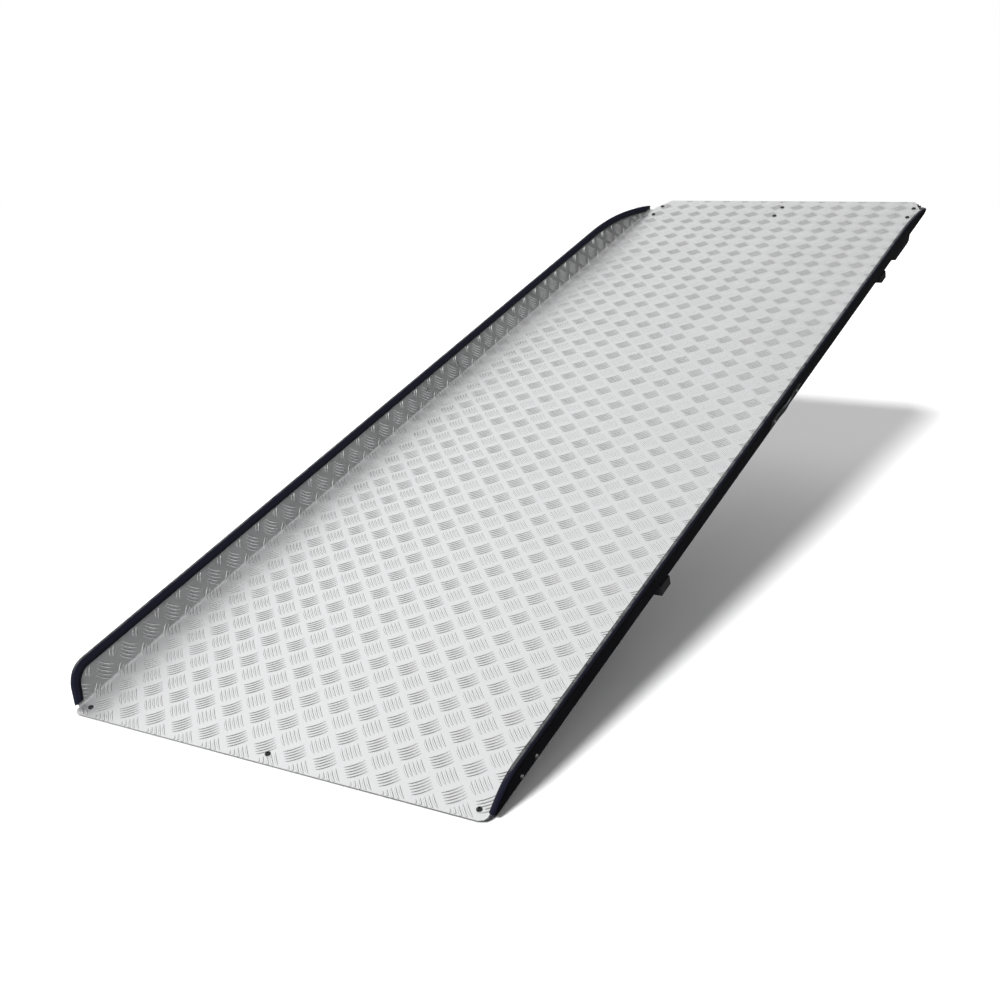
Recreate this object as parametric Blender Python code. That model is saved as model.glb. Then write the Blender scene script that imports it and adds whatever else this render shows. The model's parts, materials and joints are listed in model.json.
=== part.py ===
"""Folding loading ramp: one tread-plate leaf hinged to a sill plate on a vehicle floor.

World frame, metres, +Z up.  The origin is the centre of the sill plate's underside, which lies on
the vehicle floor.  The leaf runs down towards -Y with its toe on the ground.  Everything on the
leaf is modelled in the leaf's own frame: x across, y up the slope, z square to the deck, with its
origin on the hinge axis.  The rest pose is the deployed ramp; the leaf folds up to vertical.
"""
import math

import bmesh
import bpy
from mathutils import Matrix, Vector

# ---- driving dimensions -------------------------------------------------------------------------
DECK_L = 2.200            # deck length, toe edge to top edge
DECK_W = 0.720            # deck width between the two kerb folds
SHEET = 0.003             # tread plate thickness
INCLINE = math.radians(19.2)   # slope of the deployed leaf
KERB_LEAN = math.radians(21.4)  # kerbs splay outwards by this much
KERB_H = 0.048            # kerb sheet height above the deck, square to it
KERB_FOOT = 0.005         # height of the kerb's two short upright ends
FOLD_R = 0.006            # inner radius of the kerb fold
KERB_TOE_R = 0.044        # round corner of the kerb at the toe
KERB_TOE_RAKE = math.radians(27)   # the kerb's toe end leans back by this much
KERB_TAPER_R = 1.050      # long curve that takes the kerb down to the deck at the top end
KERB_TOE_GAP = 0.012      # toe edge to the kerb's toe end
KERB_TOP_GAP = 0.066      # kerb's top end to the top edge
TOE_CHAMFER = 0.010       # cut-off corners of the deck at the toe
TOE_CORNER_X = DECK_W / 2 - 0.001   # the deck's half width in front of the kerbs
TOP_TAPER_W = 0.033       # the deck narrows by this much at each top corner
GAP = 0.0003              # clearance between touching pieces

EYE_R = 0.009             # hinge knuckle radius
PIN_R = 0.004             # hinge pin radius
BORE_R = PIN_R + GAP
STRAP_T = 0.005           # hinge strap thickness
STRAP_LEG = 0.017         # depth of the outer straps' downturned leg
KNUCKLE_W = 0.024         # width of the moving knuckle
EAR_W = 0.012             # width of each fixed knuckle
HINGE_X = 0.300           # outer hinges' distance from the centre line
BOLT_X = DECK_W / 2 - 0.027   # outer column of deck fasteners
STRAP_BOLTS = (0.047, 0.107)  # strap bolts' distances from the top edge
STRAP_BOLT_R, STRAP_BOLT_HEAD_R = 0.003, 0.0052
TOE_SCREW_X = DECK_W / 2 - 0.019    # outer toe screws' distance from the centre line
TOE_SCREW_Y = 0.018       # toe screws' distance from the toe edge
TOE_SCREW_R, TOE_SCREW_HEAD_R = 0.0022, 0.0042
TOE_SCREW_GRIP = 0.008
TOE_BAR_HALF = 0.349      # half length of the stiffener bar under the toe
TOE_BAR_T = 0.006
TOE_BAR_START, TOE_BAR_END = 0.005, 0.042   # its edges' distances from the toe edge
TOE_PAD_T = 0.004         # rubber wear strip under the bar

SILL_W = 0.652            # sill plate on the vehicle floor
SILL_D = 0.070
SILL_T = 0.006
SILL_SET_BACK = 0.016     # sill plate's front edge behind the hinge axis
BASE_T = 0.004            # fixed hinge foot thickness
SILL_BOLT_R, SILL_BOLT_HEAD_R = 0.004, 0.0075
SILL_BOLT_SPREAD = 0.014  # sill bolts' distance either side of their hinge's centre

TRIM_W = 0.009            # rubber edge trim, overall
TRIM_LIP = 0.010          # how far its lips reach down the kerb
TRIM_TOP = 0.0045         # its top above the kerb's edge
TRIM_SEAT = 0.0015        # roof of its slot above the kerb's edge
RAIL_T = 0.0025           # black side rail, folded sheet
RAIL_FLANGE = 0.030       # its flange under the deck
BEAM_Y = (0.545, 1.765)   # cross beams' distances from the toe edge
BEAM_B, BEAM_H, BEAM_T = 0.034, 0.016, 0.002   # tube width, depth and wall
CAP_T = 0.004             # end cap flange thickness
STRAP_RIVETS = (1.023, 1.144)   # pull strap rivets' distances from the toe edge
STRAP_RIVET_H = 0.021     # their height up the kerb
STRAP_RIVET_R, STRAP_RIVET_HEAD_R = 0.0024, 0.0048
WEBBING_T, WEBBING_HALF = 0.0025, 0.0085       # pull strap's thickness and half width
WEBBING_BOW = 0.0025      # how far its middle stands off the rail
RAIL_BOLTS = (0.080, 0.120)   # side rail bolts' distances from the toe edge
RAIL_BOLT_H = 0.010       # their height up the kerb
RAIL_BOLT_R, RAIL_BOLT_HEAD_R = 0.0020, 0.0042
KERB_SKIN = 0.001         # metal left on the kerb's inner face behind each rail bolt
LATCH_Y = 1.935           # stow latch's distance from the toe edge
LATCH_L, LATCH_D, LATCH_W = 0.150, 0.017, 0.070
LATCH_ROD_R = 0.005
LATCH_TRAVEL = 0.014      # throw of the sliding bolt

# ---- worked-out positions in the leaf frame -----------------------------------------------------
HALF_W = DECK_W / 2
DECK_Z = EYE_R + GAP + SHEET      # top of the deck above the hinge axis
UNDER_Z = EYE_R + GAP             # underside of the deck
TOP_Y = -0.002                    # top edge, just short of the hinge axis
TOE_Y = TOP_Y - DECK_L
LEAN_UP = Vector((math.sin(KERB_LEAN), 0.0, math.cos(KERB_LEAN)))    # up the right-hand kerb
LEAN_OUT = Vector((math.cos(KERB_LEAN), 0.0, -math.sin(KERB_LEAN)))  # out through it
AXIS_Y = -SILL_D / 2 - SILL_SET_BACK
AXIS_Z = EYE_R
SIDES = (("left", -1), ("right", 1))


# ---- scene and materials ------------------------------------------------------------------------
def clear_scene():
    for old in list(bpy.data.objects):
        bpy.data.objects.remove(old, do_unlink=True)


def material(name, colour, roughness, metallic):
    made = bpy.data.materials.new(name)
    made.use_nodes = True
    shader = made.node_tree.nodes["Principled BSDF"]
    shader.inputs["Base Color"].default_value = (*colour, 1.0)
    shader.inputs["Roughness"].default_value = roughness
    shader.inputs["Metallic"].default_value = metallic
    made.diffuse_color = (*colour, 1.0)
    return made


def frame_empty(name, location, rotation=(0, 0, 0)):
    empty = bpy.data.objects.new(name, None)
    bpy.context.collection.objects.link(empty)
    empty.location = location
    empty.rotation_euler = rotation
    return empty


# ---- modelling helpers --------------------------------------------------------------------------
def add_mesh(name, bm, finish, parent=None, smooth=True):
    bmesh.ops.remove_doubles(bm, verts=bm.verts, dist=1e-6)
    bmesh.ops.recalc_face_normals(bm, faces=bm.faces)
    mesh = bpy.data.meshes.new(name)
    bm.to_mesh(mesh)
    bm.free()
    if smooth:
        mesh.shade_smooth()
        mesh.set_sharp_from_angle(angle=math.radians(35))
    obj = bpy.data.objects.new(name, mesh)
    bpy.context.collection.objects.link(obj)
    if finish is not None:
        mesh.materials.append(finish)
    obj.parent = parent
    return obj


def prism(outline, start, end, to_point):
    """Closed solid from a flat outline swept from start to end; to_point places (a, b, along)."""
    bm = bmesh.new()
    near = [bm.verts.new(to_point(a, b, start)) for a, b in outline]
    far = [bm.verts.new(to_point(a, b, end)) for a, b in outline]
    bm.faces.new(near)
    bm.faces.new(reversed(far))
    for i in range(len(outline)):
        j = (i + 1) % len(outline)
        bm.faces.new((near[j], near[i], far[i], far[j]))
    return bm


def along_x(a, b, x):
    return (x, a, b)


def along_y(a, b, y):
    return (a, y, b)


def along_z(a, b, z):
    return (a, b, z)


def mirrored(outline, side):
    """The same outline on the other side of the centre line."""
    return [(side * a, b) for a, b in outline]


def arc(centre, radius, start, end, steps):
    """Points on a circle from start to end degrees."""
    angles = [math.radians(start + (end - start) * i / steps) for i in range(steps + 1)]
    return [(centre[0] + radius * math.cos(t), centre[1] + radius * math.sin(t)) for t in angles]


def lathe(profile, sides, matrix):
    """Closed turned solid: profile is (radius, height) from one pole to the other."""
    bm = bmesh.new()
    rings = []
    for radius, height in profile:
        if radius == 0:
            rings.append([bm.verts.new((0, 0, height))])
            continue
        turns = [2 * math.pi * i / sides for i in range(sides)]
        ring = [(radius * math.cos(t), radius * math.sin(t), height) for t in turns]
        rings.append([bm.verts.new(point) for point in ring])
    for low, high in zip(rings, rings[1:]):
        for i in range(sides):
            j = (i + 1) % sides
            below = (low[i % len(low)], low[j % len(low)])
            above = (high[j % len(high)], high[i % len(high)])
            bm.faces.new(list(dict.fromkeys((*below, *above))))
    bm.transform(matrix)
    return bm


def cut(obj, cutter, operation="DIFFERENCE"):
    """Boolean modifier with a hidden tool object."""
    cutter.hide_render = True
    cutter.display_type = "WIRE"
    cutter.parent = obj.parent
    boolean = obj.modifiers.new(cutter.name, "BOOLEAN")
    boolean.operation = operation
    boolean.object = cutter
    boolean.solver = "EXACT"


def button_head(radius, shank, grip, sides=14):
    """Domed head above z = 0 and a shank that reaches grip below it."""
    dome = arc((0, 0), radius, 0, 90, 3)
    head = [(r, h * 0.55) for r, h in dome]
    head[-1] = (0, head[-1][1])
    return [(0, -grip), (shank, -grip), (shank, 0), *head]


# ---- the leaf: tread plate, trim and side rails --------------------------------------------------
def kerb_edge(inset, floor, steps=10):
    """The kerb's free edge in (y, z above the deck), moved inwards by inset, down to floor."""
    toe_end = TOE_Y + KERB_TOE_GAP
    rake_rise = KERB_H - KERB_TOE_R * (1 - math.sin(KERB_TOE_RAKE))
    centre_y = toe_end + rake_rise * math.tan(KERB_TOE_RAKE) + KERB_TOE_R * math.cos(KERB_TOE_RAKE)
    toe_centre = (centre_y, KERB_H - KERB_TOE_R)
    toe_radius = KERB_TOE_R - inset
    toe = arc(toe_centre, toe_radius, 180 - math.degrees(KERB_TOE_RAKE), 90, steps)
    run_down = toe[0][1] - floor
    toe.insert(0, (toe[0][0] - run_down * math.tan(KERB_TOE_RAKE), floor))

    drop = KERB_H - KERB_FOOT
    run = math.sqrt(KERB_TAPER_R**2 - (KERB_TAPER_R - drop) ** 2)
    taper_centre = (TOP_Y - KERB_TOP_GAP - run, KERB_H - KERB_TAPER_R)
    taper_radius = KERB_TAPER_R - inset
    last = math.degrees(math.asin((floor - taper_centre[1]) / taper_radius))
    return [*toe, *arc(taper_centre, taper_radius, 90, last, steps)]


def fold_section(offset, top):
    """Half of the folded sheet's section, deck centre to kerb, offset outwards from its inner face."""
    turn = math.pi / 2 - KERB_LEAN
    start_x = HALF_W - FOLD_R * math.tan(turn / 2)
    radius = FOLD_R + offset
    steps = 5
    angles = [turn * i / steps for i in range(steps + 1)]
    centre_z = DECK_Z + FOLD_R
    bend = [(start_x + radius * math.sin(t), centre_z - radius * math.cos(t)) for t in angles]
    edge = Vector((HALF_W, 0, DECK_Z)) + LEAN_UP * (top / math.cos(KERB_LEAN)) + LEAN_OUT * offset
    return [*bend, (edge.x, edge.z)]


def deck_tray(finish, leaf):
    """One tread-plate sheet folded up at both sides, trimmed to the kerb outline."""
    inner = fold_section(0.0, KERB_H)
    outer = fold_section(SHEET, KERB_H)
    section = [
        *mirrored(reversed(inner), -1), *inner,
        *reversed(outer), *mirrored(outer, -1),
    ]
    tray = add_mesh("deck_tray", prism(section, TOE_Y, TOP_Y, along_y), finish, leaf)

    ceiling = KERB_H + 0.020
    edge = kerb_edge(0.0, KERB_FOOT)
    above = [
        (TOE_Y - 0.010, KERB_FOOT / 2), (edge[0][0], KERB_FOOT / 2), *edge,
        (edge[-1][0], KERB_FOOT / 2), (TOP_Y + 0.010, KERB_FOOT / 2),
        (TOP_Y + 0.010, ceiling), (TOE_Y - 0.010, ceiling),
    ]
    above = [(y, DECK_Z + z) for y, z in above]
    reach = HALF_W + 0.060
    cut(tray, add_mesh("kerb_profile_cutter", prism(above, -reach, reach, along_x), None))

    toe_end, top_end = edge[0][0], edge[-1][0]
    top_x = HALF_W - 0.006
    for label, side in SIDES:
        toe_corner = [
            (TOE_CORNER_X - TOE_CHAMFER, TOE_Y - 0.010), (reach, TOE_Y - 0.010), (reach, toe_end),
            (TOE_CORNER_X, toe_end), (TOE_CORNER_X, TOE_Y + TOE_CHAMFER * 0.8),
            (TOE_CORNER_X - TOE_CHAMFER * 0.3, TOE_Y + TOE_CHAMFER * 0.3),
            (TOE_CORNER_X - TOE_CHAMFER, TOE_Y),
        ]
        top_corner = [
            (top_x, top_end), (reach, top_end), (reach, TOP_Y + 0.010),
            (HALF_W - TOP_TAPER_W - 0.004, TOP_Y + 0.010), (HALF_W - TOP_TAPER_W - 0.004, TOP_Y),
            (HALF_W - TOP_TAPER_W, TOP_Y - 0.005),
        ]
        for where, outline in (("toe", toe_corner), ("top", top_corner)):
            bm = prism(mirrored(outline, side), UNDER_Z - 0.010, DECK_Z + ceiling, along_z)
            cut(tray, add_mesh(f"{where}_{label}_corner_cutter", bm, None))


def kerb_point(side, across, y, z):
    """A point on a kerb: across is measured out from the inner face, z square to the deck."""
    base = Vector((HALF_W, y, DECK_Z)) + LEAN_UP * (z / math.cos(KERB_LEAN)) + LEAN_OUT * across
    return Vector((side * base.x, base.y, base.z))


def edge_trim(label, side, finish, leaf):
    """U-section rubber over the kerb's free edge; its lips shorten where the kerb runs out."""
    half, slot = TRIM_W / 2, SHEET / 2 + GAP
    fold_top = 0.0043
    path = kerb_edge(0.0, KERB_FOOT)
    bm = bmesh.new()
    rings = []
    for i, (y, z) in enumerate(path):
        before, after = path[max(i - 1, 0)], path[min(i + 1, len(path) - 1)]
        tangent = Vector((after[0] - before[0], after[1] - before[1])).normalized()
        out_y, out_z = -tangent.y, tangent.x
        if i == 0:
            out_y, out_z = -1.0, 0.0
        lip = min(TRIM_LIP, (z - fold_top) / max(out_z, 1e-6))
        section = [
            (-half, -lip), (-half, TRIM_TOP * 0.5), (-half * 0.6, TRIM_TOP), (half * 0.6, TRIM_TOP),
            (half, TRIM_TOP * 0.5), (half, -lip), (slot, -lip), (slot, TRIM_SEAT),
            (-slot, TRIM_SEAT), (-slot, -lip),
        ]
        ring = [
            bm.verts.new(kerb_point(side, SHEET / 2 + across, y + out_y * depth, z + out_z * depth))
            for across, depth in section
        ]
        rings.append(ring)
    for low, high in zip(rings, rings[1:]):
        for i in range(len(section)):
            j = (i + 1) % len(section)
            bm.faces.new((low[i], low[j], high[j], high[i]))
    bm.faces.new(rings[0])
    bm.faces.new(reversed(rings[-1]))
    add_mesh(f"edge_trim_{label}", bm, finish, leaf)


def side_rail(label, side, finish, leaf):
    """Black angle: a web up the outside of the kerb and a flange under the deck."""
    def web(offset, z):
        point = Vector((HALF_W, 0, DECK_Z)) + LEAN_OUT * offset
        return point.x + (z - point.z) * math.tan(KERB_LEAN)

    near, far = SHEET + GAP, SHEET + GAP + RAIL_T
    flange_top = UNDER_Z - GAP
    flange_low = flange_top - RAIL_T
    ceiling = DECK_Z + KERB_H
    fold_clear = HALF_W + 0.002
    section = [
        (HALF_W - RAIL_FLANGE, flange_top), (fold_clear, flange_top),
        (web(near, flange_top + 0.004), flange_top + 0.004), (web(near, ceiling), ceiling),
        (web(far, ceiling), ceiling), (web(far, flange_low), flange_low),
        (HALF_W - RAIL_FLANGE, flange_low),
    ]
    start = TOE_Y + KERB_TOE_GAP + 0.004
    end = TOP_Y - KERB_TOP_GAP + 0.003
    bm = prism(mirrored(section, side), start, end, along_y)
    rail = add_mesh(f"side_rail_{label}", bm, finish, leaf)
    below_trim = TRIM_LIP + far * math.sin(KERB_LEAN) + GAP * 2
    floor = -0.001
    above = [
        (start - 0.010, floor), *kerb_edge(below_trim, floor, 8), (end + 0.010, floor),
        (end + 0.010, 0.090), (start - 0.010, 0.090),
    ]
    above = [(y, DECK_Z + z) for y, z in above]
    ends = sorted((side * (HALF_W - 0.060), side * (HALF_W + 0.060)))
    cut(rail, add_mesh(f"rail_{label}_cutter", prism(above, *ends, along_x), None))
    clear_x, hinge_y, toe_y = HALF_W - 0.010, TOP_Y - 0.126, TOE_Y + TOE_BAR_END + 0.003
    for place, first, last in (("hinge", hinge_y, 0.010), ("toe", TOE_Y - 0.010, toe_y)):
        notch = [(HALF_W - 0.060, first), (clear_x, first), (clear_x, last), (HALF_W - 0.060, last)]
        bm = prism(mirrored(notch, side), flange_low - 0.004, flange_top + 0.001, along_z)
        cut(rail, add_mesh(f"rail_{label}_{place}_notch", bm, None))


def toe_pieces(aluminium, rubber, steel, leaf):
    """Stiffener bar and wear strip under the toe, with three screws through the deck."""
    top = UNDER_Z - GAP
    start, end = TOE_Y + TOE_BAR_START, TOE_Y + TOE_BAR_END
    bar = [(start, top), (end, top), (end, top - TOE_BAR_T), (start + 0.008, top - TOE_BAR_T)]
    add_mesh("toe_bar", prism(bar, -TOE_BAR_HALF, TOE_BAR_HALF, along_x), aluminium, leaf)
    pad_top = top - TOE_BAR_T - GAP
    pad = [
        (start + 0.009, pad_top), (end - 0.002, pad_top), (end - 0.004, pad_top - TOE_PAD_T),
        (start + 0.011, pad_top - TOE_PAD_T),
    ]
    pad_half = TOE_BAR_HALF - 0.010
    add_mesh("toe_pad", prism(pad, -pad_half, pad_half, along_x), rubber, leaf)
    y = TOE_Y + TOE_SCREW_Y
    for label, x in (("left", -TOE_SCREW_X), ("centre", 0.0), ("right", TOE_SCREW_X)):
        drill("toe", label, x, y, TOE_SCREW_R, ("deck_tray", "toe_bar"), leaf)
        place = Matrix.Translation((x, y, DECK_Z + GAP))
        head = button_head(TOE_SCREW_HEAD_R, TOE_SCREW_R, TOE_SCREW_GRIP)
        add_mesh(f"toe_screw_{label}", lathe(head, 12, place), steel, leaf)


def drill(group, label, x, y, radius, nodes, leaf):
    """Clearance hole square to the deck through the named pieces."""
    place = Matrix.Translation((x, y, DECK_Z))
    profile = [(0, -0.060), (radius + GAP, -0.060), (radius + GAP, 0.020), (0, 0.020)]
    for node in nodes:
        hole = add_mesh(f"{group}_{label}_{node}_hole", lathe(profile, 12, place), None)
        cut(bpy.data.objects[node], hole)
        hole.parent = leaf


# ---- under the deck ------------------------------------------------------------------------------
def box_tube(name, half, centre, across_y, finish, leaf):
    """Rectangular tube under the deck; across_y True runs along x, else along y."""
    top = UNDER_Z - RAIL_T - 2 * GAP
    b, h, t = BEAM_B / 2, BEAM_H, BEAM_T
    outline = [(centre - b, top), (centre + b, top), (centre + b, top - h), (centre - b, top - h)]
    bore = [(centre - b + t, top - t), (centre + b - t, top - t), (centre + b - t, top - h + t),
            (centre - b + t, top - h + t)]
    place = along_x if across_y else along_y
    tube = add_mesh(name, prism(outline, *half, place), finish, leaf, smooth=False)
    longer = (half[0] - 0.010, half[1] + 0.010)
    cut(tube, add_mesh(f"{name}_bore", prism(bore, *longer, place), None))


def cross_beams(steel, plastic, leaf):
    """Two cross beams with plugged ends, and the centre stringer in three lengths between them."""
    half = HALF_W + 0.002
    top = UNDER_Z - RAIL_T - 2 * GAP
    centres = [TOE_Y + y for y in BEAM_Y]
    for label, y in zip(("lower", "upper"), centres):
        box_tube(f"cross_beam_{label}", (-half, half), y, True, steel, leaf)
        for side_name, side in SIDES:
            b, h = BEAM_B / 2, BEAM_H
            t = BEAM_T + GAP
            face = [(y - b, top), (y + b, top), (y + b, top - h), (y - b, top - h)]
            plug = [(y - b + t, top - t), (y + b - t, top - t), (y + b - t, top - h + t),
                    (y - b + t, top - h + t)]
            outer = sorted((side * (half + GAP), side * (half + GAP + CAP_T)))
            inner = sorted((side * (half - 0.012), side * (half + GAP + CAP_T / 2)))
            name = f"end_cap_{label}_{side_name}"
            cap = add_mesh(name, prism(face, *outer, along_x), plastic, leaf, smooth=False)
            cut(cap, add_mesh(f"{name}_plug", prism(plug, *inner, along_x), None), "UNION")
    spans = (
        ("toe", TOE_Y + 0.060, centres[0] - BEAM_B / 2 - GAP),
        ("mid", centres[0] + BEAM_B / 2 + GAP, centres[1] - BEAM_B / 2 - GAP),
        ("top", centres[1] + BEAM_B / 2 + GAP, TOP_Y - 0.140),
    )
    for label, start, end in spans:
        box_tube(f"stringer_{label}", (start, end), 0.0, False, steel, leaf)


# ---- hinges --------------------------------------------------------------------------------------
def knuckle(name, x_start, x_end, finish, parent):
    """Round eye on the hinge axis."""
    turn = Matrix.Translation((x_start, 0, 0)) @ Matrix.Rotation(math.pi / 2, 4, "Y")
    length = x_end - x_start
    profile = [(0, 0), (EYE_R, 0), (EYE_R, length), (0, length)]
    return add_mesh(name, lathe(profile, 20, turn), finish, parent)


def bore(parent, name, half):
    """Cutter for the pin's bore along the hinge axis."""
    turn = Matrix.Translation((-half, 0, 0)) @ Matrix.Rotation(math.pi / 2, 4, "Y")
    profile = [(0, 0), (BORE_R, 0), (BORE_R, 2 * half), (0, 2 * half)]
    return add_mesh(name, lathe(profile, 16, turn), None, parent)


def hinge_frames():
    """Where each hinge is, with its strap's outline in plan (x from the hinge, y)."""
    inner, outer = -KNUCKLE_W / 2, BOLT_X - HINGE_X + 0.010
    long_end = TOP_Y - 0.122
    ear = TOP_Y - 0.004
    offset_plate = [
        (inner, ear), (-inner, ear), (-inner, TOP_Y - 0.036), (outer, TOP_Y - 0.041),
        (outer, long_end), (inner, long_end),
    ]
    shoulder = TOP_Y - 0.014
    square = [
        (-0.028, shoulder), (inner, shoulder), (inner, ear), (-inner, ear), (-inner, shoulder),
        (0.028, shoulder), (0.028, long_end), (-0.028, long_end),
    ]
    return (
        ("left", -HINGE_X, [(-x, y) for x, y in offset_plate], -BOLT_X),
        ("centre", 0.0, square, 0.0),
        ("right", HINGE_X, offset_plate, BOLT_X),
    )


def stiffening_leg(label, plan, top, parent):
    """Downturned leg along the outer edge of an outer strap."""
    side = -1 if label == "left" else 1
    outer = max(abs(x) for x, _ in plan)
    ends = sorted((side * (outer - 0.004), side * outer))
    front, back = TOP_Y - 0.043, TOP_Y - 0.122
    view = [
        (front, top - 0.001), (back, top - 0.001), (back, top - 0.012),
        (back + 0.008, top - STRAP_LEG), (front - 0.008, top - STRAP_LEG), (front, top - 0.012),
    ]
    return add_mesh(f"{label}_strap_leg", prism(view, *ends, along_x), None, parent)


def hinges(steel, bright, leaf, sill):
    strap_top = UNDER_Z - GAP
    for label, x, plan, bolt_x in hinge_frames():
        leaf_place = frame_empty(f"{label}_leaf_hinge", (x, 0, 0))
        leaf_place.parent = leaf
        fixed_place = frame_empty(f"{label}_sill_hinge", (x, 0, 0))
        fixed_place.parent = sill

        bm = prism(plan, strap_top - STRAP_T, strap_top, along_z)
        strap = add_mesh(f"hinge_strap_{label}", bm, steel, leaf_place)
        eye = knuckle(f"{label}_strap_eye", -KNUCKLE_W / 2, KNUCKLE_W / 2, None, leaf_place)
        cut(strap, eye, "UNION")
        if label != "centre":
            cut(strap, stiffening_leg(label, plan, strap_top, leaf_place), "UNION")
        cut(strap, bore(leaf_place, f"{label}_strap_bore", KNUCKLE_W))

        ear_in = KNUCKLE_W / 2 + GAP * 2
        ear_out = ear_in + EAR_W
        ear_root, foot_end = 0.014, 0.062
        foot_low = SILL_T + GAP - AXIS_Z
        foot = [
            (-ear_out, 0.0), (-ear_in, 0.0), (-ear_in, ear_root), (ear_in, ear_root), (ear_in, 0.0),
            (ear_out, 0.0), (ear_out, foot_end - 0.006), (ear_out - 0.006, foot_end),
            (-ear_out + 0.006, foot_end), (-ear_out, foot_end - 0.006),
        ]
        bm = prism(foot, foot_low, foot_low + BASE_T, along_z)
        base = add_mesh(f"hinge_base_{label}", bm, steel, fixed_place)
        for ear_name, start in (("near", -ear_out), ("far", ear_in)):
            eye = knuckle(f"{label}_{ear_name}_eye", start, start + EAR_W, None, fixed_place)
            cut(base, eye, "UNION")
        cut(base, bore(fixed_place, f"{label}_base_bore", KNUCKLE_W * 1.5))

        turn = Matrix.Translation((-ear_out - 0.001, 0, 0)) @ Matrix.Rotation(math.pi / 2, 4, "Y")
        span = 2 * ear_out + 0.002
        pin = [
            (0, -0.004), (PIN_R + 0.0015, -0.004), (PIN_R + 0.0025, -0.001), (PIN_R + 0.0025, 0),
            (PIN_R, 0), (PIN_R, span), (PIN_R * 0.7, span + 0.002), (0, span + 0.002),
        ]
        add_mesh(f"hinge_pin_{label}", lathe(pin, 16, turn), bright, fixed_place)

        for number, distance in enumerate(STRAP_BOLTS, 1):
            y = TOP_Y - distance
            nodes = ("deck_tray", f"hinge_strap_{label}")
            drill(f"strap{number}", label, bolt_x, y, STRAP_BOLT_R, nodes, leaf)
            place = Matrix.Translation((bolt_x, y, DECK_Z + GAP))
            head = button_head(STRAP_BOLT_HEAD_R, STRAP_BOLT_R, SHEET + STRAP_T + 0.003)
            add_mesh(f"strap_bolt_{label}_{number}", lathe(head, 12, place), bright, leaf)


# ---- sill on the vehicle floor -------------------------------------------------------------------
def sill_plate(aluminium, bright, sill):
    """Flat bar that spreads the hinge loads over the vehicle floor, with two bolts per hinge."""
    front = SILL_SET_BACK
    low, high = -AXIS_Z, SILL_T - AXIS_Z
    corner = 0.008
    w, back = SILL_W / 2, front + SILL_D
    plan = [
        (-w, front), (w, front), (w, back - corner), (w - corner, back), (-w + corner, back),
        (-w, back - corner),
    ]
    add_mesh("sill_plate", prism(plan, low, high, along_z), aluminium, sill)
    clear = SILL_BOLT_R + GAP
    for label, x, _, _ in hinge_frames():
        for number, shift in enumerate((-SILL_BOLT_SPREAD, SILL_BOLT_SPREAD), 1):
            place = Matrix.Translation((x + shift, front + SILL_D * 0.42, high + BASE_T + 2 * GAP))
            profile = [(0, -0.030), (clear, -0.030), (clear, 0.010), (0, 0.010)]
            for node in ("sill_plate", f"hinge_base_{label}"):
                hole_name = f"sill_{label}_{number}_{node}_hole"
                hole = add_mesh(hole_name, lathe(profile, 12, place), None)
                cut(bpy.data.objects[node], hole)
                hole.parent = sill
            grip = SILL_T + BASE_T + 2 * GAP
            head = button_head(SILL_BOLT_HEAD_R, SILL_BOLT_R, grip)
            add_mesh(f"sill_bolt_{label}_{number}", lathe(head, 12, place), bright, sill)


# ---- hardware on the sides -----------------------------------------------------------------------
def side_matrix(side, across, y, z):
    """Frame on a kerb with its z axis pointing out through it."""
    out = Vector((side * LEAN_OUT.x, 0, LEAN_OUT.z))
    along = Vector((0, 1, 0))
    up = out.cross(along)
    matrix = Matrix((along, up, out)).transposed().to_4x4()
    return Matrix.Translation(kerb_point(side, across, y, z)) @ matrix


def side_drill(group, nodes, side, y, z, radius, start=-0.020):
    """Clearance hole square to a kerb through the named pieces, from start out of its inner face."""
    profile = [(0, start), (radius + GAP, start), (radius + GAP, 0.030), (0, 0.030)]
    for node in nodes:
        bm = lathe(profile, 12, side_matrix(side, 0.0, y, z))
        cut(bpy.data.objects[node], add_mesh(f"{group}_{node}_hole", bm, None))


def rivet_profile(shank, head, low, high):
    """Two domed heads on a shank, bearing at the heights low and high."""
    dome = arc((0, 0), head, 0, 90, 3)[:-1]
    under = [(r, low - h * 0.5) for r, h in reversed(dome)]
    over = [(r, high + h * 0.5) for r, h in dome]
    return [(0, low - head / 2), *under, (shank, low), (shank, high), *over, (0, high + head / 2)]


def pull_straps(webbing, bright, leaf):
    """Flat webbing strap on the outside of each rail, riveted through the rail and kerb."""
    face = SHEET + GAP + RAIL_T + GAP
    first, last = (TOE_Y + y for y in STRAP_RIVETS)
    start, end = first - 0.016, last + 0.016
    steps = 12
    profile = []
    for i in range(steps + 1):
        y = start + (end - start) * i / steps
        inside = min(max((y - first - 0.012) / (last - first - 0.024), 0.0), 1.0)
        profile.append((y, WEBBING_BOW * math.sin(math.pi * inside) ** 2))
    outline = profile + [(y, rise + WEBBING_T) for y, rise in reversed(profile)]
    low_edge, high_edge = STRAP_RIVET_H - WEBBING_HALF, STRAP_RIVET_H + WEBBING_HALF
    rivet = rivet_profile(STRAP_RIVET_R, STRAP_RIVET_HEAD_R, -GAP, face + WEBBING_T + GAP)
    for label, side in SIDES:

        def to_side(y, across, z, side=side):
            return kerb_point(side, face + across, y, z)

        bm = prism(outline, low_edge, high_edge, to_side)
        add_mesh(f"pull_strap_{label}", bm, webbing, leaf)
        nodes = (f"pull_strap_{label}", f"side_rail_{label}", "deck_tray")
        for number, y in enumerate((first, last), 1):
            side_drill(f"rivet_{label}_{number}", nodes, side, y, STRAP_RIVET_H, STRAP_RIVET_R)
            bm = lathe(rivet, 12, side_matrix(side, 0.0, y, STRAP_RIVET_H))
            add_mesh(f"strap_rivet_{label}_{number}", bm, bright, leaf)


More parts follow.
